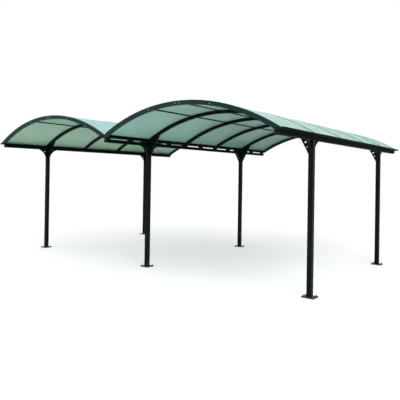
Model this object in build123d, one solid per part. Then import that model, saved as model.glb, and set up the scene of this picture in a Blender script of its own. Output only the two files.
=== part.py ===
from build123d import *
import os
from math import asin, degrees, sqrt

# Double carport: two curved roof vaults side by side on six posts.
# X runs across the vaults, Y from the front to the back, Z up.
# The origin lies on the ground in the middle of the carport.

# Plan and heights
bay_length = 982.0
bays_per_vault = 5
vault_width = 2850.0
post_height = 2017.0
crown_height = 2518.0
post_arch_numbers = (1, 4)

# Posts and foot plates
post_size = 66.0
post_wall = 2.5
post_chamfer = 2.0
foot_size = 174.0
foot_thickness = 8.0
foot_chamfer = 8.0
foot_hole_spacing = 126.0
foot_hole_diameter = 13.0
socket_height = 110.0
socket_wall = 4.0

# Beams along the eaves and the valley, a little shorter than the gutters above them
beam_width = 66.0
beam_height = 50.0
beam_wall = 2.5
beam_setback = 40.0

# Outer gutters: a closed seat chamber with a trough on its outer side
seat_height = 30.0
trough_width = 60.0
trough_height = 26.0
gutter_wall = 2.0
gutter_lip = 8.0
end_cap_thickness = 3.0

# Valley gutter and the spacers that hold it above its beam
valley_gap = 20.0
valley_sheet_clearance = 5.0
spacer_length = 72.0
spacer_width = 54.0

# Arched glazing bars; the two end bars have a rim that covers the sheet's edge
bar_width = 44.0
bar_depth = 48.0
end_rim_height = 9.5

# Roof sheets and the purlins under them
sheet_thickness = 6.0
sheet_joint = 10.0
sheet_side_gap = 2.0
sheet_lift = 0.5
sheet_overhang = 22.0
sheet_seat_clearance = 3.5
purlin_spacing = 520.0
purlin_width = 22.0
purlin_depth = 12.0
purlin_gap = 0.8

# Cast brackets below the beams and up to the arches; each hole by its place
# from the corner between post and beam, and its diameter
bracket_width = 34.0
bracket_web = 6.0
bracket_rim = 5.0
bracket_nose = 10.0
beam_bracket_reach = 155.0
beam_bracket_drop = 172.0
beam_bracket_bow = 32.0
beam_bracket_holes = ((38.0, -38.0, 22.0),)
arch_bracket_reach = 285.0
arch_bracket_drop = 182.0
arch_bracket_bow = 24.0
arch_bracket_holes = ((53.0, -24.0, 28.0), (30.0, -88.0, 18.0))

# Clearance between pieces that slide into each other
fit_gap = 0.3

roof_length = bay_length * bays_per_vault + bar_width
gutter_length = roof_length - 2 * end_cap_thickness
beam_length = gutter_length - 2 * beam_setback
beam_top = post_height + beam_height
eave_top = beam_top + seat_height
valley_gutter_base = beam_top + valley_gap

# Circle of a sheet's inner face, through its crown and just above the outer
# edge of the seat chamber; all other radii of the vault follow from it
half_vault = vault_width / 2
seat_edge = half_vault + beam_width / 2
sheet_crown = crown_height - end_rim_height + sheet_lift
sheet_rise = sheet_crown - eave_top - sheet_seat_clearance
sheet_inner_radius = (seat_edge**2 + sheet_rise**2) / (2 * sheet_rise)
circle_height = sheet_crown - sheet_inner_radius
bar_top_radius = sheet_inner_radius - sheet_lift
roof_radius = bar_top_radius + end_rim_height
soffit_radius = bar_top_radius - bar_depth
vault_axis = Axis((half_vault, 0, circle_height), (0, 1, 0))

# The valley gutter's walls end just below the sheets that drain into it
valley_wall_reach = half_vault - beam_width / 2 + gutter_wall
valley_sheet_height = circle_height + sqrt(sheet_inner_radius**2 - valley_wall_reach**2)
valley_top = valley_sheet_height - valley_sheet_clearance

# Reach of a bar from the vault's middle to the beams, and its widest sweep
bar_end = half_vault - beam_width / 2 - fit_gap
sweep_reach = asin(min(0.99, (half_vault + beam_width) / soffit_radius))


def arch_y(number):
    """Middle plane of an arch, counted from the front."""
    return (number - bays_per_vault / 2) * bay_length


def bay_y(number):
    """Middle of a bay, counted from the front."""
    return (arch_y(number) + arch_y(number + 1)) / 2


post_rows = {"left": -vault_width, "middle": 0.0, "right": vault_width}
post_lines = {"front": arch_y(post_arch_numbers[0]), "back": arch_y(post_arch_numbers[1])}


def save(name, *solids):
    """Write one node, made of one solid or of several that don't touch."""
    shape = solids[0] if len(solids) == 1 else Compound(children=list(solids))
    export_step(shape, f"parts/{name}.step")


def outline(points, plane):
    """Face on a plane inside a closed chain of straight edges."""
    return make_face(plane * Polyline(*points, close=True))


def box_between(low, high):
    """Block between two opposite corners."""
    sizes = [b - a for a, b in zip(low, high)]
    return Pos(*[(a + b) / 2 for a, b in zip(low, high)]) * Box(*sizes)


def extruded_along_y(points, holes, length):
    """Straight profile along Y, centred, from an outline in X and Z."""
    plane = Plane((0, length / 2, 0), x_dir=(1, 0, 0), z_dir=(0, -1, 0))
    face = outline(points, plane)
    for hole in holes:
        face -= outline(hole, plane)
    return extrude(face, length)


def rectangle_points(x_low, x_high, z_low, z_high):
    """Corners of an upright rectangle in X and Z."""
    return [(x_low, z_low), (x_high, z_low), (x_high, z_high), (x_low, z_high)]


def on_both_sides(shape):
    """A shape of the right half with its mirror image in the left half."""
    return {"right": shape, "left": shape.mirror(Plane.YZ)}


def square(size, corner_cut):
    """Square face with its corners cut off."""
    face = Rectangle(size, size)
    return chamfer(face.vertices(), corner_cut)


# Posts and feet
def post():
    """Square tube standing on its foot plate and carrying a beam."""
    inner = post_size - 2 * post_wall
    profile = square(post_size, post_chamfer) - Rectangle(inner, inner)
    return Pos(0, 0, foot_thickness) * extrude(profile, post_height - foot_thickness)


def foot_plate():
    """Bolted plate with a square socket that the post slides over."""
    plate = extrude(square(foot_size, foot_chamfer), foot_thickness)
    bolt_holes = GridLocations(foot_hole_spacing, foot_hole_spacing, 2, 2)
    plate -= bolt_holes * Cylinder(foot_hole_diameter / 2, 3 * foot_thickness)
    outer = post_size - 2 * post_wall - 2 * fit_gap
    inner = outer - 2 * socket_wall
    socket = Rectangle(outer, outer) - Rectangle(inner, inner)
    return plate + Pos(0, 0, foot_thickness) * extrude(socket, socket_height)


# Beams and gutters
def beam():
    """Hollow beam over one row of posts."""
    half = beam_width / 2
    outside = rectangle_points(-half, half, post_height, beam_top)
    inside = rectangle_points(
        -half + beam_wall, half - beam_wall, post_height + beam_wall, beam_top - beam_wall
    )
    return extruded_along_y(outside, [inside], beam_length)


def gutter_points():
    """Outline of an outer gutter, its trough open at the top."""
    inner = -beam_width / 2
    chamber = beam_width / 2
    outer = chamber + trough_width
    floor = eave_top - trough_height
    return [
        (inner, beam_top),
        (chamber, beam_top),
        (chamber, floor),
        (outer, floor),
        (outer, eave_top),
        (outer - gutter_lip, eave_top),
        (outer - gutter_lip, eave_top - gutter_wall),
        (outer - gutter_wall, eave_top - gutter_wall),
        (outer - gutter_wall, floor + gutter_wall),
        (chamber, floor + gutter_wall),
        (chamber, eave_top),
        (inner, eave_top),
    ]


def outer_gutter():
    """Gutter of the right eave, with the chamber that the arches stand on."""
    half = beam_width / 2
    chamber = rectangle_points(
        -half + gutter_wall, half - gutter_wall, beam_top + gutter_wall, eave_top - gutter_wall
    )
    profile = extruded_along_y(gutter_points(), [chamber], gutter_length)
    return Pos(vault_width, 0, 0) * profile


def valley_gutter():
    """Open channel between the two vaults."""
    half = beam_width / 2
    inner = half - gutter_wall
    floor = valley_gutter_base + gutter_wall
    points = [
        (-half, valley_gutter_base),
        (half, valley_gutter_base),
        (half, valley_top),
        (inner, valley_top),
        (inner, floor),
        (-inner, floor),
        (-inner, valley_top),
        (-half, valley_top),
    ]
    return extruded_along_y(points, [], gutter_length)


def valley_spacers():
    """Blocks between the valley beam and its gutter, at and between the arches."""
    first = -beam_length / 2
    step = (beam_length - spacer_length) / (2 * bays_per_vault)
    blocks = []
    for number in range(2 * bays_per_vault + 1):
        start = first + number * step
        low = (-spacer_width / 2, start, beam_top)
        high = (spacer_width / 2, start + spacer_length, valley_gutter_base)
        blocks.append(box_between(low, high))
    return blocks


def end_cap(points, length):
    """Plate on the front end of a profile of some length."""
    plane = Plane((0, -length / 2, 0), x_dir=(1, 0, 0), z_dir=(0, -1, 0))
    return extrude(outline(points, plane), end_cap_thickness)


def end_caps():
    """Plates that close the front ends of the beams and gutters."""
    half = beam_width / 2
    outer = half + trough_width
    floor = eave_top - trough_height
    eave = [(-half, beam_top), (half, beam_top), (half, floor), (outer, floor)]
    eave += [(outer, eave_top), (-half, eave_top)]
    gutter_cap = Pos(vault_width, 0, 0) * end_cap(eave, gutter_length)
    valley = rectangle_points(-half, half, valley_gutter_base, valley_top)
    beam_cap = end_cap(rectangle_points(-half, half, post_height, beam_top), beam_length)
    caps = [*on_both_sides(gutter_cap).values(), end_cap(valley, gutter_length)]
    return caps + [Pos(x, 0, 0) * beam_cap for x in post_rows.values()]


# Arched bars, sheets and purlins
def bar_profile(is_end):
    """Section of an arched bar over the vault's axis, in Y and radius."""
    plane = Plane((half_vault, 0, circle_height), x_dir=(0, 1, 0), z_dir=(1, 0, 0))
    side = bar_width / 2
    points = [(-side, soffit_radius), (side, soffit_radius), (side, bar_top_radius)]
    if is_end:
        rim_edge = sheet_joint / 2 - sheet_side_gap
        points += [(rim_edge, bar_top_radius), (rim_edge, roof_radius), (-side, roof_radius)]
    else:
        points += [(-side, bar_top_radius)]
    return outline(points, plane)


def arched(face, start, end):
    """Sweep a section around the vault's axis, from one angle to another."""
    return revolve(face.rotate(vault_axis, start), vault_axis, end - start)


def arched_bar(is_end=False):
    """Bar of the right vault, from the valley gutter to the outer seat."""
    reach = degrees(sweep_reach)
    bar = arched(bar_profile(is_end), -reach, reach)
    far = 2 * vault_width
    bar -= box_between((-far, -bar_width, 0), (half_vault - bar_end, bar_width, 2 * crown_height))
    bar -= box_between((half_vault + bar_end, -bar_width, 0), (far, bar_width, eave_top))
    return bar


def roof_sheet():
    """Curved sheet between two bars, from the valley gutter to the trough."""
    width = bay_length - sheet_joint
    radii = (sheet_inner_radius, sheet_inner_radius + sheet_thickness)
    plane = Plane((half_vault, 0, circle_height), x_dir=(0, 1, 0), z_dir=(1, 0, 0))
    section = outline(rectangle_points(-width / 2, width / 2, *radii), plane)
    valley_angle = degrees(asin((half_vault - beam_width / 2 + sheet_overhang) / radii[0]))
    outer_angle = degrees(asin((half_vault + beam_width / 2 + sheet_overhang) / radii[0]))
    return arched(section, -valley_angle, outer_angle)


def purlin_segment():
    """Slim bar under a sheet, at the crown, between two arched bars."""
    top = circle_height + sheet_inner_radius - purlin_gap
    section = rectangle_points(-purlin_width / 2, purlin_width / 2, top - purlin_depth, top)
    return Pos(half_vault, 0, 0) * extruded_along_y(section, [], bay_length - bar_width)


# Brackets
def bow_disc(tip, heel, bow, margin):
    """Disc that hollows a bracket's free edge from its tip to its heel."""
    run = tip[0] - heel[0]
    rise = tip[1] - heel[1]
    chord = sqrt(run**2 + rise**2)
    radius = (chord**2 / 4 + bow**2) / (2 * bow)
    x = (tip[0] + heel[0]) / 2 + (radius - bow) * rise / chord
    z = (tip[1] + heel[1]) / 2 - (radius - bow) * run / chord
    return Plane.XZ * Pos(x, z) * Circle(radius + margin)


def beam_bracket_face(margin):
    """Side view of a bracket between a post and its beam, set in by a margin."""
    inner = post_size / 2
    tip = (inner + beam_bracket_reach, post_height - bracket_nose)
    heel = (inner + bracket_nose, post_height - beam_bracket_drop)
    corners = rectangle_points(inner + margin, tip[0] - margin, heel[1] + margin, post_height - margin)
    return outline(corners, Plane.XZ) - bow_disc(tip, heel, beam_bracket_bow, margin)


def arch_bracket_face(margin):
    """Side view of a bracket from a post past its beam to the arch above."""
    post_face = post_size / 2
    beam_face = beam_width / 2 + fit_gap
    contact_radius = soffit_radius - fit_gap
    tip_x = beam_face + arch_bracket_reach
    tip_height = circle_height + sqrt(contact_radius**2 - (half_vault - tip_x) ** 2)
    bottom = post_height - arch_bracket_drop
    corners = [(post_face + margin, bottom + margin), (tip_x - margin, bottom + margin)]
    corners += [(tip_x - margin, crown_height), (beam_face + margin, crown_height)]
    corners += [(beam_face + margin, post_height), (post_face + margin, post_height)]
    below_arch = Plane.XZ * Pos(half_vault, circle_height) * Circle(contact_radius - margin)
    tip = (tip_x, tip_height - bracket_nose)
    heel = (post_face + bracket_nose, bottom)
    bow = bow_disc(tip, heel, arch_bracket_bow, margin)
    return (outline(corners, Plane.XZ) & below_arch) - bow


def cast_bracket(face_at, holes):
    """Rimmed casting with a pierced web, flat in XZ and centred on Y = 0."""
    web = face_at(bracket_rim)
    rim = face_at(0) - web
    for x, z, diameter in holes:
        centre = Pos(post_size / 2 + x, post_height + z)
        web -= Plane.XZ * centre * RegularPolygon(diameter / 2, 8)
    return extrude(rim, bracket_width / 2, both=True) + extrude(web, bracket_web / 2, both=True)


def row_brackets(row):
    """All brackets of one row of posts, as separate castings."""
    along = cast_bracket(beam_bracket_face, beam_bracket_holes)
    across = cast_bracket(arch_bracket_face, arch_bracket_holes)
    if row == "middle":
        across_pair = [across, across.mirror(Plane.YZ)]
    else:
        across_pair = [across.mirror(Plane.YZ) if row == "right" else across]
    solids = []
    for y in post_lines.values():
        place = Pos(post_rows[row], y, 0)
        solids += [place * Rot(0, 0, turn) * along for turn in (90, -90)]
        solids += [place * bracket for bracket in across_pair]
    return solids


# Writing the nodes
os.makedirs("parts", exist_ok=True)

for line, y in post_lines.items():
    for row, x in post_rows.items():
        save(f"{line}_{row}_post", Pos(x, y, 0) * post())
save("foot_plates", *[Pos(x, y, 0) * foot_plate() for y in post_lines.values() for x in post_rows.values()])

for row, x in post_rows.items():
    save("valley_beam" if row == "middle" else f"{row}_eave_beam", Pos(x, 0, 0) * beam())
    save(f"{row}_brackets", *row_brackets(row))
for side, gutter in on_both_sides(outer_gutter()).items():
    save(f"{side}_gutter", gutter)
save("valley_gutter", valley_gutter())
save("valley_spacers", *valley_spacers())
front_caps = end_caps()
save("end_caps", *front_caps, *[cap.mirror(Plane.XZ) for cap in front_caps])

inner_bar = arched_bar()
front_bar = arched_bar(is_end=True)
for number in range(bays_per_vault + 1):
    bar = inner_bar
    name = f"arch_{number}"
    if number == 0:
        bar, name = front_bar, "front_arch"
    elif number == bays_per_vault:
        bar, name = front_bar.mirror(Plane.XZ), "back_arch"
    for side, placed in on_both_sides(Pos(0, arch_y(number), 0) * bar).items():
        save(f"{side}_{name}", placed)

sheet = roof_sheet()
for bay in range(bays_per_vault):
    for side, placed in on_both_sides(Pos(0, bay_y(bay), 0) * sheet).items():
        save(f"{side}_roof_sheet_{bay + 1}", placed)

segment = purlin_segment()
tilt = degrees(asin(purlin_spacing / sheet_inner_radius))
runs = {}
for place, angle in (("inner", -tilt), ("crown", 0), ("outer", tilt)):
    tilted = segment.rotate(vault_axis, angle)
    runs[place] = [on_both_sides(Pos(0, bay_y(bay), 0) * tilted) for bay in range(bays_per_vault)]
for side in ("right", "left"):
    for place in ("inner", "outer"):
        save(f"{side}_{place}_purlin", *[pair[side] for pair in runs[place]])
save("crown_purlins", *[pair[side] for pair in runs["crown"] for side in ("right", "left")])
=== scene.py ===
from math import asin, atan2, cos, hypot, pi, radians, sin, sqrt

import bmesh
import bpy
from bpy.props import FloatProperty, FloatVectorProperty, IntProperty, PointerProperty
from mathutils import Matrix, Vector
from mathutils.geometry import tessellate_polygon


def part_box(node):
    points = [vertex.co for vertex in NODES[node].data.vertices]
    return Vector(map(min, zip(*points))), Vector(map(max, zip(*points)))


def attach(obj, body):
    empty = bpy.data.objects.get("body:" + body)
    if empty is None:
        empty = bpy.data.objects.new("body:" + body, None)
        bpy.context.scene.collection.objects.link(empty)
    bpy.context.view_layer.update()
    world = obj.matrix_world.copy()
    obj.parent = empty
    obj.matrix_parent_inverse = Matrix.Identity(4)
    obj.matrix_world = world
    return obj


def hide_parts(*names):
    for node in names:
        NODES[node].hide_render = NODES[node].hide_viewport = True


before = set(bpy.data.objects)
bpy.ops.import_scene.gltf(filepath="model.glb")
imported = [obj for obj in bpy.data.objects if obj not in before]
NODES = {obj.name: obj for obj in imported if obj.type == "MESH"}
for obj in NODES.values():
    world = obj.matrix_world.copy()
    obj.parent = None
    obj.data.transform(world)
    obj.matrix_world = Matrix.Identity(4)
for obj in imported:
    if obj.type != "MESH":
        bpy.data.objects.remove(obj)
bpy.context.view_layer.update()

bl_info = {
    "name": "Double carport finish",
    "version": (1, 0, 0),
    "blender": (4, 5, 0),
    "location": "3D Viewport > Sidebar > Carport",
    "description": "Paint, sheets, cover strips, seals and fasteners for a double carport",
    "category": "Object",
}

SIDES = {"right": 1, "left": -1}
ROWS = ("left", "middle", "right")
POST_NAMES = [f"{line}_{row}" for line in ("front", "back") for row in ROWS]
UP, DOWN = (0, 0, 1), (0, 0, -1)


# Places read from the frame, in metres
def centre_of(node):
    """Middle of a CAD node's box."""
    low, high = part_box(node)
    return (low + high) / 2


def vault_circle():
    """X and Z of the right vault's axis, and the radius of its sheets' top face."""
    axis_x = centre_of("front_right_post").x / 2
    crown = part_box("right_roof_sheet_1")[1].z
    corners = [vertex.co for vertex in NODES["right_roof_sheet_1"].data.vertices]
    edge = max(corners, key=lambda corner: corner.x)
    across, fall = edge.x - axis_x, crown - edge.z
    radius = (across**2 + fall**2) / (2 * fall)
    return axis_x, crown - radius, radius


AXIS_X, AXIS_Z, SHEET_RADIUS = vault_circle()
SHEET_LOW, SHEET_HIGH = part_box("right_roof_sheet_1")
BAR_LOW, BAR_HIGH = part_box("right_arch_1")
BAR_WIDTH = BAR_HIGH.y - BAR_LOW.y
ARCH_YS = [centre_of(f"right_arch_{number}").y for number in (1, 2, 3, 4)]
FRONT_Y = centre_of("right_front_arch").y
BACK_Y = centre_of("right_back_arch").y
BEAM_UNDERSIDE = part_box("valley_beam")[0].z
SOFFIT_RADIUS = min(hypot(vertex.co.x - AXIS_X, vertex.co.z - AXIS_Z)
                    for vertex in NODES["right_arch_1"].data.vertices)


def arc_angle(x, radius):
    """Angle from the crown at which an arc of the right vault reaches x."""
    return asin((x - AXIS_X) / radius)


def arc_point(sign, y, angle, radius):
    """Point of one vault's arc, at an angle from the crown towards +X."""
    return (sign * AXIS_X + radius * sin(angle), y, AXIS_Z + radius * cos(angle))


# Fixed sizes, in metres
POST_HALF = 0.033
SHEETS_PER_VAULT = 5
SHEET_THICKNESS = 0.006
SHEET_END_SLOPES = {-1: 0.50, 1: 0.52}  # sine of a sheet's slope at its valley and eave end
RIB_SPACING = 0.0105
EDGE_WEAR_REACH = 0.003

STRIP_LIFT = 0.0001
STRIP_CAMBER = 0.0005
STRIP_END_MARGIN = 0.012
STRIP_SCREW_SINK = 0.0002
SEAL_THICKNESS = 0.0028
SEAL_GAP = 0.0002
SEAL_VALLEY_MARGIN = 0.004
SEAL_EAVE_MARGIN = 0.016
TRIM_WALL = 0.0011
TRIM_DEPTH = 0.018
TRIM_MARGIN = 0.001
TRIM_END_GAP = 0.0004

PURLIN_SCREW_DROP = 0.030
CROWN_SCREW_SHIFTS = (-0.032, 0.032)
POST_SCREW_HEIGHTS = (0.035, 0.085)
BRACKET_SCREW_SHIFTS = (-0.010, 0.010)
BEAM_SCREW_REACHES = (0.070, 0.115)
NUT_AND_WASHER = 0.012
SEATED_SHARE = 0.98  # share of a washer's or head's height at which the next one starts
WASHER_SIDES = 18
SHANK_SIDES = 10

# Castings: how far each reaches and drops, how deep its free edge bows in, its holes as
# (reach, height, radius) from the post's face and the beam's underside, and its screws' drops
BRACKETS = {
    "beam": {"reach": 0.155, "drop": 0.172, "bow": 0.032, "screw_drops": (0.045, 0.125),
             "holes": ((0.038, -0.038, 0.011),)},
    "arch": {"reach": 0.195, "drop": 0.176, "bow": 0.005, "screw_drops": (0.055, 0.135),
             "holes": ((0.053, -0.024, 0.014), (0.030, -0.088, 0.009))},
}
BRACKET_WIDTH = 0.034
BRACKET_WEB = 0.006
BRACKET_RIM = 0.005
BRACKET_NOSE = 0.010
BRACKET_CHAMFER = 0.0008
BRACKET_GAP = 0.0003
BOW_STEPS = 20
HOLE_SIDES = 24
COLLAR_SIDES = 28
COLLAR_SINK = 0.0004
COLLAR_RIM = 0.0028
COLLAR_HALF_WIDTH = 0.0065
COLLAR_BEVEL = 0.0012


# Sizes and colours that a user may change
class CarportSizes(bpy.types.PropertyGroup):
    cover_width: FloatProperty(
        name="Cover strip width", description="Width of the strips over the sheet joints",
        default=0.036, min=0.02, max=0.044, unit="LENGTH")
    cover_thickness: FloatProperty(
        name="Cover strip thickness", description="Thickness of a cover strip at its edges",
        default=0.0020, min=0.001, max=0.0022, unit="LENGTH")
    strip_segments: IntProperty(
        name="Strip segments", description="Faces along a curved strip",
        default=64, min=24, max=160)
    screws_per_strip: IntProperty(
        name="Screws per strip", description="Screws along each cover strip",
        default=11, min=4, max=24)
    seal_width: FloatProperty(
        name="Seal width", description="Width of the rubber seals beside the bars",
        default=0.004, min=0.002, max=0.01, unit="LENGTH")
    trim_height: FloatProperty(
        name="Trim height", description="Height of the trims that close the sheets' ends",
        default=0.010, min=0.008, max=0.014, unit="LENGTH")
    anchor_spacing: FloatProperty(
        name="Anchor spacing", description="Distance between the anchor bolts of a foot plate",
        default=0.126, min=0.1, max=0.15, unit="LENGTH")
    stud_length: FloatProperty(
        name="Stud length", description="Length of an anchor's thread above its plate",
        default=0.026, min=0.015, max=0.05, unit="LENGTH")


class CarportColours(bpy.types.PropertyGroup):
    paint: FloatVectorProperty(
        name="Frame paint", description="Powder coat of posts, inner arches and purlins",
        subtype="COLOR", size=3, default=(0.0028, 0.0068, 0.0066), min=0, max=1)
    # A lighter, more teal copy of the frame paint: painted light where daylight falls on the
    # roof's two end arches
    edge_paint: FloatVectorProperty(
        name="Edge paint", description="Powder coat of the arches at the two ends of the roof",
        subtype="COLOR", size=3, default=(0.0080, 0.034, 0.0325), min=0, max=1)
    # A darker, greener copy of the frame paint: painted shade with a painted green reflection of
    # the sheets on the gutters and beams
    gutter_paint: FloatVectorProperty(
        name="Gutter paint", description="Powder coat of the gutters and beams",
        subtype="COLOR", size=3, default=(0.0016, 0.0068, 0.0058), min=0, max=1)
    casting: FloatVectorProperty(
        name="Bracket paint", description="Powder coat of the cast brackets",
        subtype="COLOR", size=3, default=(0.0028, 0.0062, 0.0062), min=0, max=1)
    plate: FloatVectorProperty(
        name="Foot plate paint", description="Paint of the foot plates",
        subtype="COLOR", size=3, default=(0.014, 0.034, 0.029), min=0, max=1)
    sheet_top: FloatVectorProperty(
        name="Sheet, upper face", description="Tint of the sheets' weathered upper face",
        subtype="COLOR", size=3, default=(0.50, 0.82, 0.74), min=0, max=1)
    sheet_under: FloatVectorProperty(
        name="Sheet, lower face", description="Tint of the sheets' shaded lower face",
        subtype="COLOR", size=3, default=(0.50, 0.80, 0.71), min=0, max=1)
    rubber: FloatVectorProperty(
        name="Rubber", description="Black rubber of the seals",
        subtype="COLOR", size=3, default=(0.008, 0.009, 0.009), min=0, max=1)
    zinc: FloatVectorProperty(
        name="Dull zinc", description="Zinc of the anchor bolts and post screws",
        subtype="COLOR", size=3, default=(0.15, 0.17, 0.17), min=0, max=1)
    steel: FloatVectorProperty(
        name="Stainless steel", description="Steel of the small screws",
        subtype="COLOR", size=3, default=(0.52, 0.54, 0.55), min=0, max=1)


# Helpers for node trees
NOISE_SPAN = (0.3, 0.7)  # where most values of a noise texture lie


def feed(tree, node, inputs):
    """Give a node's inputs their links or constants."""
    for name, value in inputs.items():
        if isinstance(value, bpy.types.NodeSocket):
            tree.links.new(value, node.inputs[name])
        else:
            node.inputs[name].default_value = value


def add_node(tree, kind, inputs=None, **settings):
    """New node with its settings made and its inputs fed."""
    node = tree.nodes.new(kind)
    for name, value in settings.items():
        setattr(node, name, value)
    feed(tree, node, inputs or {})
    return node


def empty_material(name):
    """Material with an emptied node tree and a new output."""
    material = bpy.data.materials.new(name)
    material.use_nodes = True
    tree = material.node_tree
    tree.nodes.clear()
    return material, tree, add_node(tree, "ShaderNodeOutputMaterial")


def new_material(name):
    """Material with its node tree, its shader and its object coordinates."""
    material, tree, output = empty_material(name)
    shader = add_node(tree, "ShaderNodeBsdfPrincipled")
    feed(tree, output, {"Surface": shader.outputs["BSDF"]})
    coordinates = add_node(tree, "ShaderNodeTexCoord")
    return material, tree, shader, coordinates.outputs["Object"]


def math_node(tree, operation, *values):
    """Math node on numbers or sockets."""
    inputs = dict(enumerate(values))
    return add_node(tree, "ShaderNodeMath", inputs, operation=operation).outputs["Value"]


def product(tree, first, second):
    """Two values multiplied."""
    return math_node(tree, "MULTIPLY", first, second)


def total(tree, first, second):
    """Two values added."""
    return math_node(tree, "ADD", first, second)


def ramp(tree, value, over, to=(0.0, 1.0)):
    """Map a value from one range to another, without going past its ends."""
    return add_node(tree, "ShaderNodeMapRange", {
        "Value": value, "From Min": over[0], "From Max": over[1],
        "To Min": to[0], "To Max": to[1]}).outputs["Result"]


def split(tree, vector):
    """X, Y and Z sockets of a vector socket."""
    return add_node(tree, "ShaderNodeSeparateXYZ", {"Vector": vector}).outputs


def combined(tree, **parts):
    """Vector from numbers or sockets for X, Y and Z."""
    return add_node(tree, "ShaderNodeCombineXYZ", parts).outputs["Vector"]


def noise(tree, vector, scale, detail=3.0):
    """Noise texture on a vector socket."""
    return add_node(tree, "ShaderNodeTexNoise", {
        "Vector": vector, "Scale": scale, "Detail": detail, "Roughness": 0.55}).outputs["Fac"]


def stretched(tree, vector, scale):
    """Coordinates with their own scale along each axis."""
    inputs = {"Vector": vector, "Scale": scale}
    return add_node(tree, "ShaderNodeMapping", inputs).outputs["Vector"]


def mixed(tree, factor, *colours):
    """Colour between two colours or colour sockets."""
    inputs = {"Factor": factor}
    for socket, colour in zip((6, 7), colours):
        inputs[socket] = (*colour, 1.0) if isinstance(colour, tuple) else colour
    return add_node(tree, "ShaderNodeMix", inputs, data_type="RGBA").outputs[2]


def layered(tree, tint, *layers):
    """A tint under layers of (mask, share, colour)."""
    for mask, share, colour in layers:
        tint = mixed(tree, product(tree, mask, share), tint, colour)
    return tint


def relief(tree, height, strength, distance):
    """Bumped normal from a height socket."""
    return add_node(tree, "ShaderNodeBump", {
        "Height": height, "Strength": strength, "Distance": distance}).outputs["Normal"]


def upward(tree, low, high):
    """How far a face looks up, between two heights of its normal."""
    geometry = add_node(tree, "ShaderNodeNewGeometry")
    return ramp(tree, split(tree, geometry.outputs["Normal"])["Z"], (low, high))


def worn_edge(tree):
    """1 along sharp edges, 0 on flat faces: where a rounded normal leaves the true one."""
    rounded = add_node(tree, "ShaderNodeBevel", {"Radius": EDGE_WEAR_REACH}, samples=4)
    true = add_node(tree, "ShaderNodeNewGeometry").outputs["True Normal"]
    dot = add_node(tree, "ShaderNodeVectorMath", {0: rounded.outputs["Normal"], 1: true},
                   operation="DOT_PRODUCT")
    return ramp(tree, dot.outputs["Value"], (0.78, 0.985), (1.0, 0.0))


def lighter(colour, share):
    """A colour moved towards white."""
    return tuple(channel + (1 - channel) * share for channel in colour)


def scaled(colour, factor):
    """A colour made darker or stronger."""
    return tuple(min(1.0, channel * factor) for channel in colour)


def tinted(colour, factors):
    """A colour with its own factor for each channel."""
    return tuple(channel * factor for channel, factor in zip(colour, factors))


# Materials
DUST = (0.12, 0.15, 0.13)
SHEET_SPECKS = (0.55, 0.60, 0.52)
SHEET_RUNS = (0.40, 0.62, 0.52)
SHEET_TOP_GRIME = (0.24, 0.42, 0.32)
SHEET_UNDER_GRIME = (0.16, 0.22, 0.15)
SHEET_RIBS = (0.80, 0.90, 0.85)
# Painted light: the left vault's lower face made warmer
LEFT_UNDER_LIGHT_FACTORS = (1.06, 1.0, 0.84)
LEFT_TOP_FACTORS = (1.0, 1.02, 1.10)
# Painted shade: the lower face made darker towards the back
BACK_UNDER_SHADE_FACTORS = (0.17, 0.32, 0.26)
BACK_TOP_FACTORS = (0.72, 1.0, 0.98)


def painted_metal(name, colour, roughness, grain, dust, gloss):
    """Powder coat: orange peel, cloudy tint, rain marks, dust on top and wear along edges."""
    material, tree, shader, place = new_material(name)
    clouds = noise(tree, stretched(tree, place, (1.0, 1.0, 0.6)), 3.2, 4.0)
    streaks = noise(tree, stretched(tree, place, (26.0, 26.0, 0.9)), 1.6)
    patches = ramp(tree, clouds, NOISE_SPAN, (0.35, 1.0))
    chips = ramp(tree, noise(tree, place, 55.0), (0.42, 0.62), (0.15, 1.0))
    tint = mixed(tree, ramp(tree, clouds, NOISE_SPAN), scaled(colour, 0.82), scaled(colour, 1.2))
    tint = layered(
        tree, tint,
        (ramp(tree, streaks, (0.52, 0.72)), 0.16, lighter(scaled(colour, 2.0), 0.03)),
        (product(tree, upward(tree, 0.55, 0.98), patches), dust, DUST),
        (product(tree, worn_edge(tree), chips), 0.6, lighter(scaled(colour, 4.0), 0.05)))
    dull = ramp(tree, streaks, NOISE_SPAN, (roughness - 0.05, roughness + 0.1))
    feed(tree, shader, {
        "Base Color": tint, "Roughness": dull, "Specular IOR Level": gloss,
        "Normal": relief(tree, noise(tree, place, grain, 2.0), 0.12, 0.0006)})
    return material


def plain_plastic(name, colour, roughness):
    """Matt moulded plastic or rubber with a fine grain."""
    material, tree, shader, place = new_material(name)
    clouds = noise(tree, place, 9.0, 4.0)
    pale = lighter(scaled(colour, 1.2), 0.01)
    tint = mixed(tree, ramp(tree, clouds, (0.35, 0.65)), scaled(colour, 0.8), pale)
    dull = ramp(tree, clouds, NOISE_SPAN, (roughness - 0.06, roughness + 0.08))
    feed(tree, shader, {
        "Base Color": tint, "Roughness": dull, "Specular IOR Level": 0.08,
        "Normal": relief(tree, noise(tree, place, 1400.0, 2.0), 0.15, 0.0003)})
    return material


def turned_metal(name, colour):
    """Bare turned metal with fine scratches and dull patches."""
    material, tree, shader, place = new_material(name)
    clouds = noise(tree, place, 90.0)
    tint = mixed(tree, ramp(tree, clouds, NOISE_SPAN), scaled(colour, 0.75), colour)
    feed(tree, shader, {
        "Base Color": tint, "Roughness": ramp(tree, clouds, NOISE_SPAN, (0.24, 0.42)),
        "Metallic": 1.0,
        "Normal": relief(tree, noise(tree, place, 2600.0, 2.0), 0.1, 0.0002)})
    return material


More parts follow.
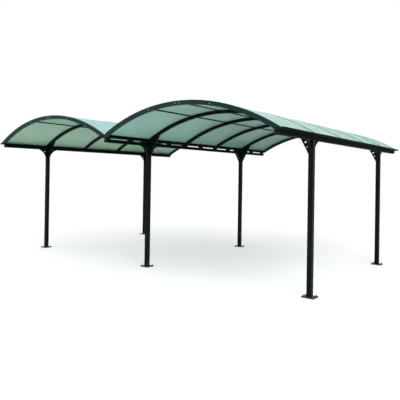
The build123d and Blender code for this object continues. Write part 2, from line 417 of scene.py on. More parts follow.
def sheet_masks(tree, place):
    """Where a point of the roof lies and what weather left there, each from 0 to 1."""
    clouds = noise(tree, place, 1.1, 4.0)
    runs = noise(tree, stretched(tree, place, (0.9, 34.0, 0.9)), 1.3)
    x, y = (split(tree, place)[axis] for axis in ("X", "Y"))
    in_left_vault = math_node(tree, "LESS_THAN", x, 0.0)
    from_axis = math_node(tree, "SUBTRACT", math_node(tree, "ABSOLUTE", x), AXIS_X)
    rightward = product(tree, from_axis, ramp(tree, in_left_vault, (0.0, 1.0), (1.0, -1.0)))
    distance = math_node(tree, "ABSOLUTE", from_axis)
    near_eave = ramp(tree, distance, (AXIS_X - 0.28, AXIS_X - 0.02))
    return {
        "clouds": clouds,
        "left": in_left_vault,
        "rightward": ramp(tree, rightward, (-1.1, 0.7)),
        "back": ramp(tree, y, (FRONT_Y, BACK_Y)),
        "haze": ramp(tree, clouds, NOISE_SPAN),
        "specks": ramp(tree, noise(tree, place, 38.0, 5.0), (0.55, 0.8)),
        "runs": ramp(tree, runs, (0.52, 0.75)),
        "grime": product(tree, math_node(tree, "POWER", near_eave, 2.0),
                         ramp(tree, runs, (0.35, 0.65), (0.15, 1.0))),
    }


def sheet_top_tint(tree, masks, colour):
    """Weathered upper face: haze, specks, rain runs, and grime by the eaves."""
    tint = mixed(tree, masks["left"], colour, tinted(colour, LEFT_TOP_FACTORS))
    return layered(
        tree, tint,
        (masks["back"], 0.5, tinted(colour, BACK_TOP_FACTORS)),
        (masks["haze"], 0.10, scaled(colour, 0.55)),
        (masks["specks"], 0.12, SHEET_SPECKS),
        (masks["runs"], 0.12, SHEET_RUNS),
        (masks["grime"], 0.10, SHEET_TOP_GRIME))


def sheet_under_tint(tree, masks, colour):
    """Lower face with painted shade: darker to the right of each vault and towards the back, and
    painted light that makes the left vault warmer and lighter.
    """
    # Painted shade: each vault's lower face is lighter on its left side and darker on its right,
    # less so on the left vault
    lit_side = mixed(tree, masks["left"], colour, tinted(colour, LEFT_UNDER_LIGHT_FACTORS))
    shaded_side = mixed(tree, masks["left"], scaled(colour, 0.62), scaled(colour, 0.70))
    # Painted shade towards the back, stronger on the right vault
    back_share = ramp(tree, masks["left"], (0.0, 1.0), (0.80, 0.25))
    return layered(
        tree, mixed(tree, masks["rightward"], lit_side, shaded_side),
        (masks["back"], back_share, tinted(colour, BACK_UNDER_SHADE_FACTORS)),
        (masks["haze"], 0.22, scaled(colour, 0.45)),
        (masks["grime"], 0.12, SHEET_UNDER_GRIME))


def roof_sheet(name, upper, lower):
    """Twin-wall sheet: clear tinted plastic, with ribs along the arch, faint dirt and painted
    shade on its lower face.
    """
    material, tree, shader, place = new_material(name)
    ribs = add_node(tree, "ShaderNodeTexWave", {
        "Vector": place, "Scale": pi / 10 / RIB_SPACING, "Distortion": 0.0},
        bands_direction="Y").outputs["Fac"]
    masks = sheet_masks(tree, place)
    below = sheet_under_tint(tree, masks, lower)
    above = sheet_top_tint(tree, masks, upper)
    # Lower faces take the tint with painted shade, upper faces the weathered tint
    tint = mixed(tree, upward(tree, -0.2, 0.2), below, above)
    tint = layered(tree, tint, (ribs, 0.16, SHEET_RIBS))
    feed(tree, shader, {
        "Base Color": tint, "Roughness": ramp(tree, masks["clouds"], NOISE_SPAN, (0.32, 0.44)),
        "Transmission Weight": 0.40, "IOR": 1.25, "Specular IOR Level": 0.2,
        "Normal": relief(tree, ribs, 0.30, 0.0004)})
    return material


# Finishes: how each is made, its colours among the user's, and the rest of its settings,
# which for painted metal are roughness, grain, dust and gloss
FINISHES = {
    "green_powder_coat": (painted_metal, ["paint"], (0.46, 900.0, 0.10, 0.06)),
    "roof_edge_coat": (painted_metal, ["edge_paint"], (0.44, 900.0, 0.12, 0.08)),
    "gutter_coat": (painted_metal, ["gutter_paint"], (0.58, 900.0, 0.06, 0.02)),
    "cover_strip_coat": (painted_metal, ["paint"], (0.62, 900.0, 0.02, 0.02)),
    "casting_paint": (painted_metal, ["casting"], (0.50, 420.0, 0.12, 0.07)),
    "foot_plate_paint": (painted_metal, ["plate"], (0.52, 600.0, 0.35, 0.12)),
    "moulded_plastic": (plain_plastic, ["gutter_paint"], (0.55,)),
    "seal_rubber": (plain_plastic, ["rubber"], (0.7,)),
    "stainless_steel": (turned_metal, ["steel"], ()),
    "dull_zinc": (turned_metal, ["zinc"], ()),
    "twin_wall_sheet": (roof_sheet, ["sheet_top", "sheet_under"], ()),
}


def finish(name):
    """The named material, made on its first use."""
    make, colours, settings = FINISHES[name]
    chosen = bpy.context.scene.carport_colours
    tints = [tuple(getattr(chosen, colour)) for colour in colours]
    return bpy.data.materials.get(name) or make(name, *tints, *settings)


def dress(node, name):
    """Give a CAD node its finish."""
    materials = NODES[node].data.materials
    materials.clear()
    materials.append(finish(name))


# Helpers for Geometry Nodes
def link_object(name, data):
    """New object at the origin, in the scene's collection."""
    obj = bpy.data.objects.new(name, data)
    bpy.context.scene.collection.objects.link(obj)
    return obj


def point_cloud(name, points):
    """Object with one vertex for each (place, axis) pair."""
    mesh = bpy.data.meshes.new(name)
    mesh.from_pydata([place for place, _ in points], [], [])
    axes = mesh.attributes.new("axis", "FLOAT_VECTOR", "POINT")
    for entry, (_, axis) in zip(axes.data, points):
        entry.vector = axis
    return link_object(name, mesh)


def new_group(name, inputs):
    """Geometry node group with its named inputs, and its input and output nodes."""
    tree = bpy.data.node_groups.new(name, "GeometryNodeTree")
    for direction in ("INPUT", "OUTPUT"):
        tree.interface.new_socket(
            name="Geometry", in_out=direction, socket_type="NodeSocketGeometry")
    for label, value in inputs.items():
        kind = "NodeSocketInt" if isinstance(value, int) else "NodeSocketFloat"
        socket = tree.interface.new_socket(name=label, in_out="INPUT", socket_type=kind)
        socket.default_value = value
    tree.interface.new_socket(name="Material", in_out="INPUT", socket_type="NodeSocketMaterial")
    return tree, add_node(tree, "NodeGroupInput"), add_node(tree, "NodeGroupOutput")


def copies_on_points(tree, start, end, **inputs):
    """End of every group: a shape on each point, made real, then its material."""
    copies = add_node(tree, "GeometryNodeInstanceOnPoints", {
        "Points": start.outputs["Geometry"], **inputs})
    real = add_node(tree, "GeometryNodeRealizeInstances", {
        "Geometry": copies.outputs["Instances"]})
    finished = add_node(tree, "GeometryNodeSetMaterial", {
        "Geometry": real.outputs["Geometry"], "Material": start.outputs["Material"]})
    feed(tree, end, {"Geometry": finished.outputs["Geometry"]})


def bent_strip_group(name):
    """Strip bent round the vault's circle, copied to every point of the object."""
    tree, start, end = new_group(name, {
        "Radius": 1.0, "Start angle": -0.5, "Sweep": 1.0, "Width": 0.02,
        "Thickness": 0.002, "Camber": 0.001, "Segments": 48})
    value = start.outputs
    strip = add_node(tree, "GeometryNodeMeshCube", {
        "Size": combined(tree, X=1.0, Y=value["Width"], Z=value["Thickness"]),
        "Vertices X": total(tree, value["Segments"], 1), "Vertices Y": 5})
    flat = split(tree, add_node(tree, "GeometryNodeInputPosition").outputs["Position"])
    turned = product(tree, total(tree, flat["X"], 0.5), value["Sweep"])
    angle = total(tree, turned, value["Start angle"])
    across = math_node(tree, "DIVIDE", flat["Y"], product(tree, value["Width"], 0.5))
    swell = math_node(tree, "SUBTRACT", 1.0, product(tree, across, across))
    is_top = math_node(tree, "GREATER_THAN", flat["Z"], 0.0)
    rise = product(tree, product(tree, swell, value["Camber"]), is_top)
    radius = total(tree, total(tree, flat["Z"], value["Radius"]), rise)
    bent = combined(tree, X=product(tree, radius, math_node(tree, "SINE", angle)), Y=flat["Y"],
                    Z=product(tree, radius, math_node(tree, "COSINE", angle)))
    moved = add_node(tree, "GeometryNodeSetPosition", {
        "Geometry": strip.outputs["Mesh"], "Position": bent})
    copies_on_points(tree, start, end, Instance=moved.outputs["Geometry"])
    return tree


def stacked_cylinders(tree, parts):
    """Cylinders along Z, each from its sides, radius, height and base."""
    join = add_node(tree, "GeometryNodeJoinGeometry")
    for sides, radius, height, base in parts:
        cylinder = add_node(tree, "GeometryNodeMeshCylinder", {
            "Vertices": sides, "Radius": radius, "Depth": height})
        middle = total(tree, product(tree, height, 0.5), base)
        raised = add_node(tree, "GeometryNodeTransform", {
            "Geometry": cylinder.outputs["Mesh"], "Translation": combined(tree, Z=middle)})
        tree.links.new(raised.outputs["Geometry"], join.inputs["Geometry"])
    return join.outputs["Geometry"]


def fastener_group(name):
    """Washer, head and shank on every point, standing along the point's axis."""
    tree, start, end = new_group(name, {
        "Washer radius": 0.008, "Washer height": 0.0012, "Head radius": 0.005,
        "Head height": 0.003, "Head sides": 6, "Shank radius": 0.002, "Shank height": 0.0004})
    value = start.outputs
    head_base = product(tree, value["Washer height"], SEATED_SHARE)
    shank_base = total(tree, head_base, product(tree, value["Head height"], SEATED_SHARE))
    piece = stacked_cylinders(tree, [
        (WASHER_SIDES, value["Washer radius"], value["Washer height"], 0.0),
        (value["Head sides"], value["Head radius"], value["Head height"], head_base),
        (SHANK_SIDES, value["Shank radius"], value["Shank height"], shank_base),
    ])
    axis = add_node(tree, "GeometryNodeInputNamedAttribute", {"Name": "axis"},
                    data_type="FLOAT_VECTOR")
    turn = add_node(tree, "FunctionNodeAlignRotationToVector", {
        "Vector": axis.outputs["Attribute"]}, axis="Z")
    copies_on_points(tree, start, end, Instance=piece, Rotation=turn.outputs["Rotation"])
    return tree


GROUPS = {"Bent strip": bent_strip_group, "Fasteners on points": fastener_group}


def baked_nodes(obj, group, values):
    """Run a node group on an object and keep its result as the object's plain mesh."""
    modifier = obj.modifiers.new(group.name, "NODES")
    modifier.node_group = group
    sockets = {item.name: item.identifier
               for item in group.interface.items_tree if item.in_out == "INPUT"}
    for label, value in values.items():
        modifier[sockets[label]] = value
    bpy.context.view_layer.update()
    evaluated = obj.evaluated_get(bpy.context.evaluated_depsgraph_get())
    mesh = bpy.data.meshes.new_from_object(evaluated)
    if not mesh.polygons:
        raise RuntimeError(f"{obj.name}: its node group made no faces")
    obj.modifiers.clear()
    obj.data = mesh
    mesh.name = obj.name


def settle(obj):
    """Last step of every piece: it rides on the carport's body."""
    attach(obj, "root")


def piece_on_points(name, points, kind, material, slot, **sizes):
    """Piece of one group's shapes at (place, axis) points."""
    group = bpy.data.node_groups.get(kind) or GROUPS[kind](kind)
    values = {key.replace("_", " ").capitalize(): size for key, size in sizes.items()}
    piece = point_cloud(name, points)
    baked_nodes(piece, group, {**values, "Material": finish(material)})
    settle(piece)


def fasteners(name, points, material, slot, **sizes):
    """Piece of like fasteners at (place, axis) points."""
    piece_on_points(name, points, "Fasteners on points", material, slot, **sizes)


def bent_strips(name, sign, ys, angles, material, slot, **sizes):
    """Piece of like strips round one vault, each at its Y, over the right vault's angles."""
    low, high = angles
    points = [((sign * AXIS_X, y, AXIS_Z), UP) for y in ys]
    segments = bpy.context.scene.carport_sizes.strip_segments
    piece_on_points(name, points, "Bent strip", material, slot, segments=segments,
                    start_angle=low if sign > 0 else -high, sweep=high - low, **sizes)


# Helpers for meshes built vertex by vertex
def ring(shape, points):
    """Vertices at some points."""
    return [shape.verts.new(point) for point in points]


def wall(shape, first, second):
    """Faces between two closed rings of vertices."""
    for i in range(len(first)):
        j = (i + 1) % len(first)
        shape.faces.new((first[i], first[j], second[j], second[i]))


def mesh_from(shape, name):
    """Mesh of a shape, with its faces turned outward."""
    bmesh.ops.recalc_face_normals(shape, faces=shape.faces)
    mesh = bpy.data.meshes.new(name)
    shape.to_mesh(mesh)
    shape.free()
    return mesh


def finished_object(shape, name, material):
    """Object of a shape, with its finish."""
    mesh = mesh_from(shape, name)
    mesh.materials.append(finish(material))
    return link_object(name, mesh)


def joined_copies(name, copies, material):
    """Object of many copies of patterns, from (pattern, matrix) pairs."""
    shape = bmesh.new()
    for pattern, matrix in copies:
        part = pattern.copy()
        part.transform(matrix)
        shape.from_mesh(part)
        bpy.data.meshes.remove(part)
    return finished_object(shape, name, material)


# Operators, one for each piece or group of like pieces
class PaintFrame(bpy.types.Operator):
    """Powder coat on posts, beams, arches, gutters and purlins"""

    bl_idname = "carport.paint_frame"
    bl_label = "Paint the frame"

    def execute(self, context):
        # One powder coat in three copies: the end arches get a lighter copy, painted light; the
        # gutters and beams get a darker, greener copy, painted shade with a painted green
        # reflection of the sheets; the rest keep the frame paint
        for node in NODES:
            if "front_arch" in node or "back_arch" in node:
                dress(node, "roof_edge_coat")
            elif "gutter" in node or "beam" in node:
                dress(node, "gutter_coat")
            elif any(word in node for word in ("post", "arch", "purlin")):
                dress(node, "green_powder_coat")
        return {"FINISHED"}


class PaintBrackets(bpy.types.Operator):
    """Powder coat on the brackets' solids and paint on the foot plates"""

    bl_idname = "carport.paint_brackets"
    bl_label = "Paint brackets and foot plates"

    def execute(self, context):
        for row in ROWS:
            dress(f"{row}_brackets", "casting_paint")
        dress("foot_plates", "foot_plate_paint")
        return {"FINISHED"}


class FinishPlastics(bpy.types.Operator):
    """Moulded plastic for the end caps and the valley spacers"""

    bl_idname = "carport.finish_plastics"
    bl_label = "Finish end caps and spacers"

    def execute(self, context):
        for node in ("end_caps", "valley_spacers"):
            dress(node, "moulded_plastic")
        return {"FINISHED"}


class FinishSheets(bpy.types.Operator):
    """Tinted twin-wall plastic for the roof sheets"""

    bl_idname = "carport.finish_sheets"
    bl_label = "Finish the roof sheets"

    def execute(self, context):
        for node in NODES:
            if "roof_sheet" in node:
                dress(node, "twin_wall_sheet")
        return {"FINISHED"}


class AddCoverStrips(bpy.types.Operator):
    """Cover strips over the joints between the sheets, with their screws"""

    bl_idname = "carport.add_cover_strips"
    bl_label = "Add cover strips"

    def execute(self, context):
        sizes = context.scene.carport_sizes
        base = SHEET_RADIUS + STRIP_LIFT
        screw_radius = base + sizes.cover_thickness + STRIP_CAMBER - STRIP_SCREW_SINK
        low = arc_angle(SHEET_LOW.x + STRIP_END_MARGIN, SHEET_RADIUS)
        high = arc_angle(SHEET_HIGH.x - STRIP_END_MARGIN, SHEET_RADIUS)
        step = (high - low) / sizes.screws_per_strip
        for side, sign in SIDES.items():
            bent_strips(f"{side}_cover_strips", sign, ARCH_YS, (low, high),
                        "cover_strip_coat", "frame_paint",
                        radius=base + sizes.cover_thickness / 2, width=sizes.cover_width,
                        thickness=sizes.cover_thickness, camber=STRIP_CAMBER)
            screws = []
            for y in ARCH_YS:
                for number in range(sizes.screws_per_strip):
                    angle = sign * (low + step * (number + 0.5))
                    place = arc_point(sign, y, angle, screw_radius)
                    screws.append((place, (sin(angle), 0, cos(angle))))
            fasteners(f"{side}_cover_strip_screws", screws, "stainless_steel", "frame_paint",
                      washer_radius=0.0052, washer_height=0.0002,
                      head_radius=0.0038, head_height=0.0002, head_sides=12,
                      shank_radius=0.0014, shank_height=0.0001)
        return {"FINISHED"}


class AddSeals(bpy.types.Operator):
    """Rubber seals between the sheets and the arched bars, a thin line beside each bar"""

    bl_idname = "carport.add_seals"
    bl_label = "Add rubber seals"

    def execute(self, context):
        width = context.scene.carport_sizes.seal_width
        under = SHEET_RADIUS - SHEET_THICKNESS
        low = arc_angle(BAR_LOW.x + SEAL_VALLEY_MARGIN, under)
        high = arc_angle(BAR_HIGH.x - SEAL_EAVE_MARGIN, under)
        offset = (BAR_WIDTH + width) / 2
        ys = [FRONT_Y + offset, BACK_Y - offset]
        ys += [y + edge for y in ARCH_YS for edge in (-offset, offset)]
        for side, sign in SIDES.items():
            bent_strips(f"{side}_bar_seals", sign, ys, (low, high),
                        "seal_rubber", "cap_plastic",
                        radius=under - SEAL_GAP - SEAL_THICKNESS / 2, width=width,
                        thickness=SEAL_THICKNESS, camber=0.0)
        return {"FINISHED"}


def channel_section(wall_thickness, height, depth):
    """Outline of a U around a sheet's end, as (along the arc, out from its middle)."""
    half, inside = height / 2, height / 2 - wall_thickness
    return [(-depth, -half), (wall_thickness, -half), (wall_thickness, half), (-depth, half),
            (-depth, inside), (0, inside), (0, -inside), (-depth, -inside)]


class AddEndTrims(bpy.types.Operator):
    """Channels that close the open ends of the twin-wall sheets"""

    bl_idname = "carport.add_end_trims"
    bl_label = "Add sheet end trims"

    def execute(self, context):
        middle = SHEET_RADIUS - SHEET_THICKNESS / 2
        height = context.scene.carport_sizes.trim_height - TRIM_MARGIN
        section = channel_section(TRIM_WALL, height, TRIM_DEPTH)
        for side, sign in SIDES.items():
            shape = bmesh.new()
            for number in range(1, SHEETS_PER_VAULT + 1):
                low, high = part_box(f"right_roof_sheet_{number}")
                for edge, outward in ((low.x, -1), (high.x, 1)):
                    lean = SHEET_THICKNESS / 2 * SHEET_END_SLOPES[outward]
                    angle = arc_angle(edge - outward * lean, middle)
                    turns = [angle + outward * (along + TRIM_END_GAP) / middle
                             for along, _ in section]
                    ends = []
                    for y in (low.y + TRIM_MARGIN, high.y - TRIM_MARGIN):
                        ends.append(ring(shape, [
                            arc_point(sign, y, sign * turn, middle + out)
                            for turn, (_, out) in zip(turns, section)]))
                    wall(shape, *ends)
                    for end in ends:
                        shape.faces.new(end)
            settle(finished_object(shape, f"{side}_sheet_end_trims", "green_powder_coat"))
        return {"FINISHED"}


class AddPurlinScrews(bpy.types.Operator):
    """Bright screws through the end arches into the purlins"""

    bl_idname = "carport.add_purlin_screws"
    bl_label = "Add purlin screws"

    def execute(self, context):
        radius = SHEET_RADIUS - PURLIN_SCREW_DROP
        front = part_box("right_front_arch")[0].y
        shifts = [centre_of(f"right_{place}_purlin").x - AXIS_X for place in ("inner", "outer")]
        points = []
        for sign in SIDES.values():
            for shift in (*shifts, *CROWN_SCREW_SHIFTS):
                x, height = sign * (AXIS_X + shift), AXIS_Z + sqrt(radius**2 - shift**2)
                points += [((x, front, height), (0, -1, 0)), ((x, -front, height), (0, 1, 0))]
        fasteners("purlin_screws", points, "stainless_steel", "frame_paint",
                  washer_radius=0.006, washer_height=0.00008,
                  head_radius=0.0045, head_height=0.00004, head_sides=18,
                  shank_radius=0.002, shank_height=0.00002)
        return {"FINISHED"}


class AddAnchors(bpy.types.Operator):
    """Anchor bolts through the foot plates: washer, nut and the end of the stud"""

    bl_idname = "carport.add_anchors"
    bl_label = "Add anchor bolts"

    def execute(self, context):
        sizes = context.scene.carport_sizes
        half = sizes.anchor_spacing / 2
        plate_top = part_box("front_right_post")[0].z
        points = []
        for name in POST_NAMES:
            middle = centre_of(f"{name}_post")
            points += [((middle.x + dx, middle.y + dy, plate_top), UP)
                       for dx in (-half, half) for dy in (-half, half)]
        fasteners("anchor_bolts", points, "dull_zinc", "plate_paint",
                  washer_radius=0.012, washer_height=0.0024,
                  head_radius=0.0105, head_height=0.0095, head_sides=6,
                  shank_radius=0.0058, shank_height=sizes.stud_length - NUT_AND_WASHER)
        return {"FINISHED"}


class AddPostScrews(bpy.types.Operator):
    """Screws that hold each post on the socket of its foot plate"""

    bl_idname = "carport.add_post_screws"
    bl_label = "Add post screws"

    def execute(self, context):
        points = []
        for name in POST_NAMES:
            low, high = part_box(f"{name}_post")
            y = (low.y + high.y) / 2
            for height in POST_SCREW_HEIGHTS:
                points += [((low.x, y, low.z + height), (-1, 0, 0)),
                           ((high.x, y, low.z + height), (1, 0, 0))]
        fasteners("post_screws", points, "dull_zinc", "frame_paint",
                  washer_radius=0.0075, washer_height=0.001,
                  head_radius=0.0055, head_height=0.0028, head_sides=14)
        return {"FINISHED"}


def bracket_places():
    """Row, kind and placement of each bracket; a placement turns +X away from the post."""
    places = []
    for name in POST_NAMES:
        row = name.split("_")[1]
        middle = centre_of(f"{name}_post")
        turns = [("beam", pi / 2), ("beam", -pi / 2)]
        if row != "left":
            turns.append(("arch", pi))
        if row != "right":
            turns.append(("arch", 0.0))
        post = Matrix.Translation((middle.x, middle.y, 0))
        places += [(row, kind, post @ Matrix.Rotation(turn, 4, "Z")) for kind, turn in turns]
    return places


def bow_points(tip, heel, bow, margin, bottom, tip_x):
    """Hollow free edge of a bracket, from its heel to its tip, set in by a margin."""
    run, rise = tip[0] - heel[0], tip[1] - heel[1]
    chord = hypot(run, rise)
    radius = (chord**2 / 4 + bow**2) / (2 * bow)
    x = (tip[0] + heel[0]) / 2 + (radius - bow) * rise / chord
    z = (tip[1] + heel[1]) / 2 - (radius - bow) * run / chord
    radius += margin
    start = atan2(bottom - z, -sqrt(radius**2 - (bottom - z) ** 2))
    if start < 0:
        start += 2 * pi
    end = atan2(sqrt(radius**2 - (tip_x - x) ** 2), tip_x - x)
    angles = [start + (end - start) * step / BOW_STEPS for step in range(BOW_STEPS + 1)]
    return [(x + radius * cos(angle), z + radius * sin(angle)) for angle in angles]


def beam_bracket_outline(margin):
    """Side view of a bracket under the beam, from the post's middle, set in by a margin."""
    size = BRACKETS["beam"]
    tip = (POST_HALF + size["reach"], BEAM_UNDERSIDE - BRACKET_NOSE)
    heel = (POST_HALF + BRACKET_NOSE, BEAM_UNDERSIDE - size["drop"])
    near, far = POST_HALF + margin, tip[0] - margin
    bottom, top = heel[1] + margin, BEAM_UNDERSIDE - margin
    bow = bow_points(tip, heel, size["bow"], margin, bottom, far)
    return [(near, bottom), *bow, (far, top), (near, top)]


def arch_bracket_outline(margin):
    """Side view of a bracket from the post up to the arch, from the post's middle."""
    def height(x):
        radius = SOFFIT_RADIUS - BRACKET_GAP - margin
        return AXIS_Z + sqrt(radius**2 - (AXIS_X - x) ** 2)

    size = BRACKETS["arch"]
    beam_face = POST_HALF + BRACKET_GAP
    tip_x = beam_face + size["reach"]
    tip = (tip_x, height(tip_x) - BRACKET_NOSE)
    heel = (POST_HALF + BRACKET_NOSE, BEAM_UNDERSIDE - size["drop"])
    near, far, bottom = beam_face + margin, tip_x - margin, heel[1] + margin
    bow = bow_points(tip, heel, size["bow"], margin, bottom, far)
    along = [far + (near - far) * step / BOW_STEPS for step in range(BOW_STEPS + 1)]
    return [(POST_HALF + margin, bottom), *bow, *((x, height(x)) for x in along),
            (near, BEAM_UNDERSIDE), (POST_HALF + margin, BEAM_UNDERSIDE)]


def casting(kind, outline_at):
    """Rimmed casting with a pierced web in the XZ plane, closed on all sides."""
    shape = bmesh.new()
    half, web = BRACKET_WIDTH / 2, BRACKET_WEB / 2
    levels = ((0.0, half - BRACKET_CHAMFER), (BRACKET_CHAMFER, half),
              (BRACKET_RIM - BRACKET_CHAMFER, half), (BRACKET_RIM, half - BRACKET_CHAMFER),
              (BRACKET_RIM, web))
    turns = [2 * pi * step / HOLE_SIDES for step in range(HOLE_SIDES)]
    circles = []
    for reach, height, radius in BRACKETS[kind]["holes"]:
        x, z = POST_HALF + reach, BEAM_UNDERSIDE + height
        circles.append([(x + radius * cos(turn), z + radius * sin(turn)) for turn in turns])
    faces = []
    for sign in (1, -1):
        rings = [ring(shape, [(x, sign * y, z) for x, z in outline_at(margin)])
                 for margin, y in levels]
        for first, second in zip(rings, rings[1:]):
            wall(shape, first, second)
        holes = [ring(shape, [(x, sign * web, z) for x, z in circle]) for circle in circles]
        edges = [rings[-1], *holes]
        corners = [vertex for edge in edges for vertex in edge]
        outlines = [[vertex.co.copy() for vertex in edge] for edge in edges]
        for triangle in tessellate_polygon(outlines):
            shape.faces.new([corners[index] for index in triangle])
        faces.append([rings[0], *holes])
    for first, second in zip(*faces):
        wall(shape, first, second)
    return mesh_from(shape, f"{kind}_casting")


class CastBrackets(bpy.types.Operator):
    """Cast brackets under the beams and up to the arches, one object for each row of posts"""

    bl_idname = "carport.cast_brackets"
    bl_label = "Cast the brackets"

    def execute(self, context):
        patterns = {"beam": casting("beam", beam_bracket_outline),
                    "arch": casting("arch", arch_bracket_outline)}
        for row in ROWS:
            copies = [(patterns[kind], matrix)
                      for place, kind, matrix in bracket_places() if place == row]
            piece = joined_copies(f"{row}_bracket_castings", copies, "casting_paint")
            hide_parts(f"{row}_brackets")
            settle(piece)
        for pattern in patterns.values():
            bpy.data.meshes.remove(pattern)
        return {"FINISHED"}


def collar(hole_radius):
    """Round collar with bevelled lips on both sides of a hole, about the Y axis."""
    inner, outer = hole_radius - COLLAR_SINK, hole_radius + COLLAR_RIM
    lip = COLLAR_HALF_WIDTH + COLLAR_BEVEL / 2
    front = [(inner, -COLLAR_HALF_WIDTH), (inner + COLLAR_BEVEL, -lip),
             (outer - COLLAR_BEVEL, -lip), (outer, COLLAR_BEVEL - COLLAR_HALF_WIDTH)]
    profile = front + [(radius, -y) for radius, y in reversed(front)]
    shape = bmesh.new()
    rings = []
    for step in range(COLLAR_SIDES):
        turn = 2 * pi * step / COLLAR_SIDES
        rings.append(ring(shape, [(radius * cos(turn), y, radius * sin(turn))
                                  for radius, y in profile]))
    for first, second in zip(rings, rings[1:] + rings[:1]):
        wall(shape, first, second)
    return mesh_from(shape, "collar")


class AddBracketCollars(bpy.types.Operator):
    """Round collars cast round the brackets' holes"""

    bl_idname = "carport.add_bracket_collars"
    bl_label = "Add bracket collars"

    def execute(self, context):
        copies = []
        for _, kind, matrix in bracket_places():
            for reach, height, radius in BRACKETS[kind]["holes"]:
                hole = Matrix.Translation((POST_HALF + reach, 0, BEAM_UNDERSIDE + height))
                copies.append((collar(radius), matrix @ hole))
        settle(joined_copies("bracket_collars", copies, "casting_paint"))
        for pattern, _ in copies:
            bpy.data.meshes.remove(pattern)
        return {"FINISHED"}


class AddBracketScrews(bpy.types.Operator):
    """Screws through the brackets' flanges into posts and beams"""

    bl_idname = "carport.add_bracket_screws"
    bl_label = "Add bracket screws"

    def execute(self, context):
        points = []
        for _, kind, matrix in bracket_places():
            away = matrix.col[0].xyz
            for shift in BRACKET_SCREW_SHIFTS:
                for drop in BRACKETS[kind]["screw_drops"]:
                    place = Vector((POST_HALF + BRACKET_RIM, shift, BEAM_UNDERSIDE - drop))
                    points.append((matrix @ place, away))
                if kind == "beam":
                    for reach in BEAM_SCREW_REACHES:
                        place = Vector((POST_HALF + reach, shift, BEAM_UNDERSIDE - BRACKET_RIM))
                        points.append((matrix @ place, DOWN))
        fasteners("bracket_screws", points, "stainless_steel", "bracket_paint",
                  washer_radius=0.0048, washer_height=0.0008,
                  head_radius=0.0038, head_height=0.0024, head_sides=10)
        return {"FINISHED"}


# Stage
FLOOR_HALF = 60.0
FLOOR_GREY = (0.80, 0.80, 0.80, 1)
FLOOR_GLOW = 0.42
WORLD_LIGHT = 0.72
LAMPS = {"key_lamp": ((9.0, -6.0, 9.5), 600.0), "fill_lamp": ((-9.0, -9.0, 6.0), 150.0)}
LAMP_SIZE = 6.0
LAMP_TARGET = Vector((0, 0, 1.5))
WHITE = (1, 1, 1, 1)

# Camera fitted to the photograph: place in metres, turns in degrees, the rest in pixels
CAMERA_PLACE = (5.2097, -7.0872, 1.5491)
CAMERA_TURNS = (39.1099, 0.2133, 0.8855)  # yaw, pitch and roll
FOCAL_PIXELS = 454.9881
CENTRE_PIXEL = (178.2755, 172.7087)
PHOTO_SIZE = 400.0


def white_to_camera(tree):
    """1 for what camera, mirror and glass rays see, 0 for the light itself."""
    rays = add_node(tree, "ShaderNodeLightPath").outputs
    seen = math_node(tree, "MAXIMUM", rays["Is Camera Ray"], rays["Is Glossy Ray"])
    return math_node(tree, "MAXIMUM", seen, rays["Is Transmission Ray"])


def build_floor():
    """Large pale floor that keeps the carport's shadow."""
    material, tree, output = empty_material("pale_floor")
    diffuse = add_node(tree, "ShaderNodeBsdfDiffuse", {"Color": FLOOR_GREY})
    glow = add_node(tree, "ShaderNodeEmission", {
        "Color": WHITE, "Strength": product(tree, white_to_camera(tree), FLOOR_GLOW)})
    both = add_node(tree, "ShaderNodeAddShader", {
        0: diffuse.outputs["BSDF"], 1: glow.outputs["Emission"]})
    feed(tree, output, {"Surface": both.outputs["Shader"]})
    mesh = bpy.data.meshes.new("floor")
    low, high = -FLOOR_HALF, FLOOR_HALF
    corners = [(low, low, 0), (high, low, 0), (high, high, 0), (low, high, 0)]
    mesh.from_pydata(corners, [], [(0, 1, 2, 3)])
    mesh.materials.append(material)
    link_object("floor", mesh)


def build_world(scene):
    """White surroundings, dimmer as a light than as a background."""
    world = bpy.data.worlds.new("surroundings")
    world.use_nodes = True
    tree = world.node_tree
    strength = ramp(tree, white_to_camera(tree), (0.0, 1.0), (WORLD_LIGHT, 1.0))
    feed(tree, tree.nodes["Background"], {"Color": WHITE, "Strength": strength})
    scene.world = world


def build_lamps():
    """One broad key lamp from the right and a weaker one from the front left."""
    for name, (place, power) in LAMPS.items():
        lamp = bpy.data.lights.new(name, "AREA")
        lamp.shape = "SQUARE"
        lamp.size = LAMP_SIZE
        lamp.energy = power
        obj = link_object(name, lamp)
        obj.location = place
        view = LAMP_TARGET - Vector(place)
        obj.rotation_euler = view.to_track_quat("-Z", "Y").to_euler()


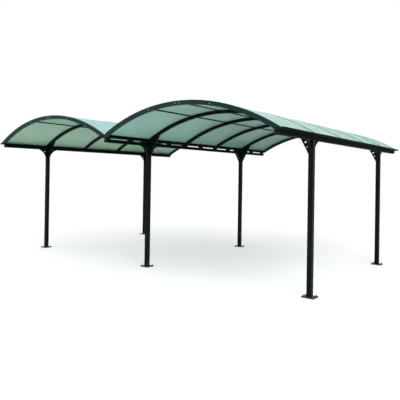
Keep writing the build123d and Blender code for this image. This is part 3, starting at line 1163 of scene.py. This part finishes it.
def build_camera(scene):
    """Camera at the photograph's place, turn and framing."""
    yaw, pitch, roll = map(radians, CAMERA_TURNS)
    forward = Vector((-sin(yaw) * cos(pitch), cos(yaw) * cos(pitch), sin(pitch)))
    level = Vector((cos(yaw), sin(yaw), 0))
    upright = level.cross(forward)
    right = cos(roll) * level + sin(roll) * upright
    up = cos(roll) * upright - sin(roll) * level
    camera = bpy.data.cameras.new("camera")
    camera.sensor_fit = "HORIZONTAL"
    camera.sensor_width = 36.0
    camera.lens = FOCAL_PIXELS / PHOTO_SIZE * camera.sensor_width
    camera.shift_x = (PHOTO_SIZE / 2 - CENTRE_PIXEL[0]) / PHOTO_SIZE
    camera.shift_y = (CENTRE_PIXEL[1] - PHOTO_SIZE / 2) / PHOTO_SIZE
    camera.clip_end = 200.0
    obj = link_object("camera", camera)
    turn = Matrix((right, up, -forward)).transposed().to_4x4()
    obj.matrix_world = Matrix.Translation(CAMERA_PLACE) @ turn
    scene.camera = obj


class BuildStage(bpy.types.Operator):
    """Pale floor, white surroundings, soft lamps and the camera"""

    bl_idname = "carport.build_stage"
    bl_label = "Build the stage"

    def execute(self, context):
        build_floor()
        build_world(context.scene)
        build_lamps()
        build_camera(context.scene)
        context.scene.view_settings.view_transform = "Standard"
        return {"FINISHED"}


# Sidebar panel and registration
OPERATORS = (
    PaintFrame, PaintBrackets, FinishPlastics, FinishSheets, AddCoverStrips, AddSeals,
    AddEndTrims, AddPurlinScrews, AddAnchors, AddPostScrews, CastBrackets,
    AddBracketCollars, AddBracketScrews, BuildStage,
)


class CarportPanel(bpy.types.Panel):
    """Sizes, colours and building steps of the carport"""

    bl_idname = "VIEW3D_PT_carport"
    bl_label = "Carport"
    bl_space_type = "VIEW_3D"
    bl_region_type = "UI"
    bl_category = "Carport"

    def draw(self, context):
        for group in (context.scene.carport_sizes, context.scene.carport_colours):
            for name in group.__annotations__:
                self.layout.prop(group, name)
        for operator in OPERATORS:
            self.layout.operator(operator.bl_idname)


CLASSES = (CarportSizes, CarportColours, *OPERATORS, CarportPanel)


def register():
    for item in CLASSES:
        bpy.utils.register_class(item)
    bpy.types.Scene.carport_sizes = PointerProperty(type=CarportSizes)
    bpy.types.Scene.carport_colours = PointerProperty(type=CarportColours)


def unregister():
    del bpy.types.Scene.carport_colours
    del bpy.types.Scene.carport_sizes
    for item in reversed(CLASSES):
        bpy.utils.unregister_class(item)


def main():
    register()
    for operator in OPERATORS:
        getattr(bpy.ops.carport, operator.bl_idname.removeprefix("carport."))()


if __name__ == "__main__":
    main()
